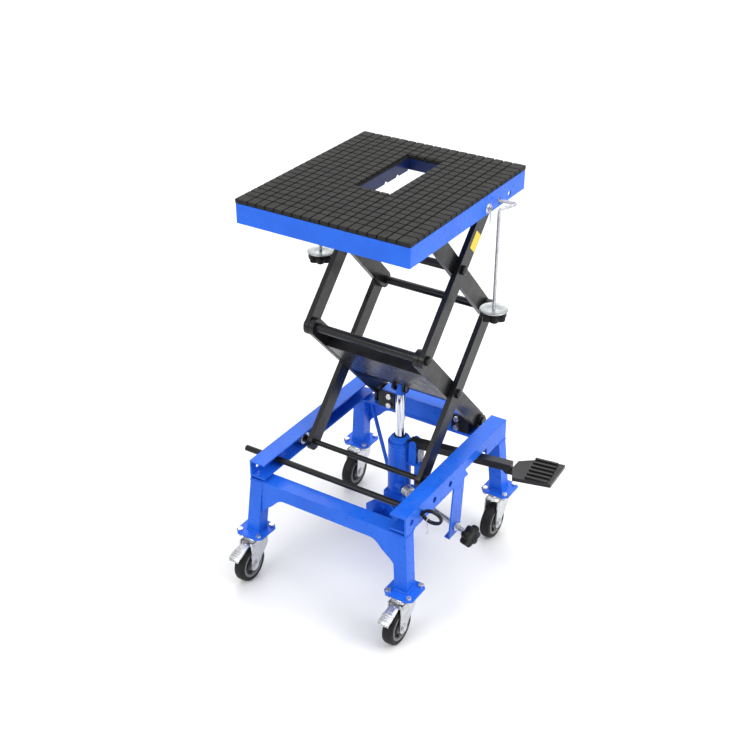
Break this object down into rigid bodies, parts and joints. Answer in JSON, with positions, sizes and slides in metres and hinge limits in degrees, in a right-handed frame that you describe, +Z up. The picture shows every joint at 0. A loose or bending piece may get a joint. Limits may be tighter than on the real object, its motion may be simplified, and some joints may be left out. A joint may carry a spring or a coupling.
{
  "type": "scissor lift table",
  "caption": "Foot-pumped hydraulic scissor lift table with a rubber-topped deck, a double scissor linkage, clamping hooks, a safety bar and swivel casters",
  "frame": {"origin": "on the floor under the middle of the base frame", "axes": "+Z up; -Y is the front, the end with the braked casters; +X is the side that the pedal comes out of"},
  "size_m": [0.55, 0.489, 0.801],
  "materials": {
    "blue_paint": "semi-gloss enamel",
    "black_paint": "satin powder coat",
    "zinc_plate": "bright zinc plating",
    "chrome": "ground and hard chromed",
    "mat_rubber": "matt",
    "wheel_rubber": "matt",
    "black_plastic": "matt, lightly grained"
  },
  "bodies": {
    "base": {"left_rail": "blue_paint", "right_rail": "blue_paint", "front_crossmember": "blue_paint", "rear_crossmember": "blue_paint", "front_legs": "blue_paint", "rear_legs": "blue_paint", "rear_pivot_beam": "blue_paint", "rear_pivot_brackets": "black_paint", "frame_bolts": "zinc_plate", "jack_cradle": "blue_paint", "release_bracket": "blue_paint", "caster_plates": "zinc_plate"},
    "lower_inner_frame": {"lower_inner_arms": "black_paint", "lift_plate": "black_paint", "lower_arm_panel": "black_paint", "mid_front_bar": "black_paint"},
    "lower_outer_frame": {"lower_outer_arms": "black_paint", "lower_cross_rod": "black_paint", "lower_centre_bolts": "black_paint"},
    "upper_outer_frame": {"upper_outer_arms": "black_paint", "upper_centre_shaft": "black_paint"},
    "upper_inner_frame": {"upper_inner_arms": "black_paint", "mid_rear_bar": "black_paint", "upper_roller_pins": "zinc_plate"},
    "deck": {"deck_tray": "blue_paint", "rubber_mat": "mat_rubber", "deck_channels": "black_paint", "deck_pivot_lugs": "black_paint"},
    "jack_body": {"jack_base": "blue_paint", "jack_cylinder": "blue_paint", "pump_housing": "blue_paint"},
    "ram": {"jack_ram": "chrome", "ram_head": "blue_paint"},
    "plunger": {"pump_plunger": "chrome"},
    "pedal": {"pedal_arm": "black_paint", "pedal_plate": "black_paint"},
    "release": {"release_rod": "zinc_plate", "release_knob": "black_plastic"},
    "lock_bar": {"safety_bar": "black_paint"},
    "lock_clip": {"hitch_clip": "zinc_plate"},
    "lower_wheel_left": {"lower_roller_left": "zinc_plate"},
    "upper_wheel_left": {"upper_roller_left": "zinc_plate"},
    "hook_left": {"hook_rod_left": "zinc_plate"},
    "clamp_washer_left": {"hook_washer_left": "zinc_plate"},
    "clamp_knob_left": {"hook_knob_left": "black_plastic"},
    "lower_wheel_right": {"lower_roller_right": "zinc_plate"},
    "upper_wheel_right": {"upper_roller_right": "zinc_plate"},
    "hook_right": {"hook_rod_right": "zinc_plate"},
    "clamp_washer_right": {"hook_washer_right": "zinc_plate"},
    "clamp_knob_right": {"hook_knob_right": "black_plastic"},
    "caster_front_left": {"caster_fork_front_left": "zinc_plate"},
    "caster_wheel_front_left": {"wheel_front_left": "wheel_rubber"},
    "caster_front_right": {"caster_fork_front_right": "zinc_plate"},
    "caster_wheel_front_right": {"wheel_front_right": "wheel_rubber"},
    "caster_rear_left": {"caster_fork_rear_left": "zinc_plate"},
    "caster_wheel_rear_left": {"wheel_rear_left": "wheel_rubber"},
    "caster_rear_right": {"caster_fork_rear_right": "zinc_plate"},
    "caster_wheel_rear_right": {"wheel_rear_right": "wheel_rubber"},
    "brake_left": {"brake_pedal_left": "zinc_plate"},
    "brake_right": {"brake_pedal_right": "zinc_plate"}
  },
  "joints": [
    {"name": "lift", "type": "hinge", "parent": "base", "child": "lower_inner_frame", "pos_m": [0, 0.188, 0.25], "axis": [-1, 0, 0], "range_deg": [-16, 11.3]},
    {"name": "lower_crossing", "type": "hinge", "parent": "lower_inner_frame", "child": "lower_outer_frame", "pos_m": [0, 0.06661, 0.3795], "axis": [-1, 0, 0], "range_deg": [-22.6, 32]},
    {"name": "middle_front_pivot", "type": "hinge", "parent": "lower_inner_frame", "child": "upper_outer_frame", "pos_m": [0, -0.05478, 0.509], "axis": [-1, 0, 0], "range_deg": [-22.6, 32]},
    {"name": "upper_crossing", "type": "hinge", "parent": "upper_outer_frame", "child": "upper_inner_frame", "pos_m": [0, 0.06661, 0.6385], "axis": [-1, 0, 0], "range_deg": [-32, 22.6]},
    {"name": "deck_pivot", "type": "hinge", "parent": "upper_outer_frame", "child": "deck", "pos_m": [0, 0.188, 0.768], "axis": [-1, 0, 0], "range_deg": [-16, 11.3]},
    {"name": "jack_tilt", "type": "hinge", "parent": "base", "child": "jack_body", "pos_m": [0, 0.07146, 0.084], "axis": [-1, 0, 0], "range_deg": [-6.01, 4.25]},
    {"name": "ram_slide", "type": "slide", "parent": "jack_body", "child": "ram", "axis": [0, 0, 1], "range_m": [-0.0326, 0.02305]},
    {"name": "pedal_pivot", "type": "hinge", "parent": "jack_body", "child": "pedal", "pos_m": [0.034, 0.07146, 0.233], "axis": [-0.1392, 0.9903, 0], "range_deg": [0, 14], "stiffness_Nm_per_rad": 8, "springref_deg": -20.05},
    {"name": "plunger_slide", "type": "slide", "parent": "jack_body", "child": "plunger", "axis": [0, 0, -1], "range_m": [0, 0.0037]},
    {"name": "release_turn", "type": "hinge", "parent": "base", "child": "release", "pos_m": [0.206, -0.0162, 0.132], "axis": [0.945, -0.327, 0], "range_deg": [0, 180]},
    {"name": "lock_bar_slide", "type": "slide", "parent": "base", "child": "lock_bar", "axis": [1, 0, 0], "range_m": [0, 0.38]},
    {"name": "lock_clip_swing", "type": "hinge", "parent": "lock_bar", "child": "lock_clip", "pos_m": [0.187, -0.14, 0.23477], "axis": [1, 0, 0], "range_deg": [-35, 35]},
    {"name": "lower_roller_left_turn", "type": "hinge", "parent": "lower_outer_frame", "child": "lower_wheel_left", "pos_m": [-0.154, -0.05478, 0.25], "axis": [1, 0, 0], "continuous": true},
    {"name": "upper_roller_left_turn", "type": "hinge", "parent": "upper_inner_frame", "child": "upper_wheel_left", "pos_m": [-0.139, -0.05478, 0.768], "axis": [1, 0, 0], "continuous": true},
    {"name": "hook_left_swing", "type": "hinge", "parent": "deck", "child": "hook_left", "pos_m": [-0.1725, 0.1075, 0.768], "axis": [1, 0, 0], "range_deg": [-25, 25]},
    {"name": "washer_left_slide", "type": "slide", "parent": "hook_left", "child": "clamp_washer_left", "axis": [0, 0, 1], "range_m": [0, 0.0101]},
    {"name": "knob_left_turn", "type": "hinge", "parent": "clamp_washer_left", "child": "clamp_knob_left", "pos_m": [-0.189, 0.077, 0.56], "axis": [0, 0, 1], "range_deg": [0, 3600]},
    {"name": "lower_roller_right_turn", "type": "hinge", "parent": "lower_outer_frame", "child": "lower_wheel_right", "pos_m": [0.154, -0.05478, 0.25], "axis": [1, 0, 0], "continuous": true},
    {"name": "upper_roller_right_turn", "type": "hinge", "parent": "upper_inner_frame", "child": "upper_wheel_right", "pos_m": [0.139, -0.05478, 0.768], "axis": [1, 0, 0], "continuous": true},
    {"name": "hook_right_swing", "type": "hinge", "parent": "deck", "child": "hook_right", "pos_m": [0.1725, 0.1075, 0.768], "axis": [1, 0, 0], "range_deg": [-25, 25]},
    {"name": "washer_right_slide", "type": "slide", "parent": "hook_right", "child": "clamp_washer_right", "axis": [0, 0, 1], "range_m": [0, 0.0101]},
    {"name": "knob_right_turn", "type": "hinge", "parent": "clamp_washer_right", "child": "clamp_knob_right", "pos_m": [0.189, 0.077, 0.56], "axis": [0, 0, 1], "range_deg": [0, 3600]},
    {"name": "caster_front_left_swivel", "type": "hinge", "parent": "base", "child": "caster_front_left", "pos_m": [-0.1705, -0.191, 0.093], "axis": [0, 0, 1], "continuous": true},
    {"name": "wheel_front_left_roll", "type": "hinge", "parent": "caster_front_left", "child": "caster_wheel_front_left", "pos_m": [-0.1705, -0.218, 0.0375], "axis": [1, 0, 0], "continuous": true},
    {"name": "caster_front_right_swivel", "type": "hinge", "parent": "base", "child": "caster_front_right", "pos_m": [0.1705, -0.191, 0.093], "axis": [0, 0, 1], "continuous": true},
    {"name": "wheel_front_right_roll", "type": "hinge", "parent": "caster_front_right", "child": "caster_wheel_front_right", "pos_m": [0.1705, -0.218, 0.0375], "axis": [1, 0, 0], "continuous": true},
    {"name": "caster_rear_left_swivel", "type": "hinge", "parent": "base", "child": "caster_rear_left", "pos_m": [-0.1705, 0.191, 0.093], "axis": [0, 0, 1], "continuous": true},
    {"name": "wheel_rear_left_roll", "type": "hinge", "parent": "caster_rear_left", "child": "caster_wheel_rear_left", "pos_m": [-0.1705, 0.164, 0.0375], "axis": [1, 0, 0], "continuous": true},
    {"name": "caster_rear_right_swivel", "type": "hinge", "parent": "base", "child": "caster_rear_right", "pos_m": [0.1705, 0.191, 0.093], "axis": [0, 0, 1], "continuous": true},
    {"name": "wheel_rear_right_roll", "type": "hinge", "parent": "caster_rear_right", "child": "caster_wheel_rear_right", "pos_m": [0.1705, 0.164, 0.0375], "axis": [1, 0, 0], "continuous": true},
    {"name": "brake_left_press", "type": "hinge", "parent": "caster_front_left", "child": "brake_left", "pos_m": [-0.1705, -0.22, 0.084], "axis": [1, 0, 0], "range_deg": [0, 10]},
    {"name": "brake_right_press", "type": "hinge", "parent": "caster_front_right", "child": "brake_right", "pos_m": [0.1705, -0.22, 0.084], "axis": [1, 0, 0], "range_deg": [0, 10]}
  ],
  "couplings": [
    {"joint": "lower_crossing", "follows": "lift", "ratio": -2},
    {"joint": "middle_front_pivot", "follows": "lift", "ratio": -2},
    {"joint": "upper_crossing", "follows": "lift", "ratio": 2},
    {"joint": "deck_pivot", "follows": "lift", "ratio": 1},
    {"joint": "jack_tilt", "follows": "lift", "ratio": 0.37528},
    {"joint": "ram_slide", "follows": "lift", "m_per_rad": 0.11648},
    {"joint": "plunger_slide", "follows": "pedal_pivot", "m_per_rad": 0.015},
    {"joint": "washer_left_slide", "follows": "knob_left_turn", "m_per_rad": 0.00015915},
    {"joint": "washer_right_slide", "follows": "knob_right_turn", "m_per_rad": 0.00015915}
  ]
}
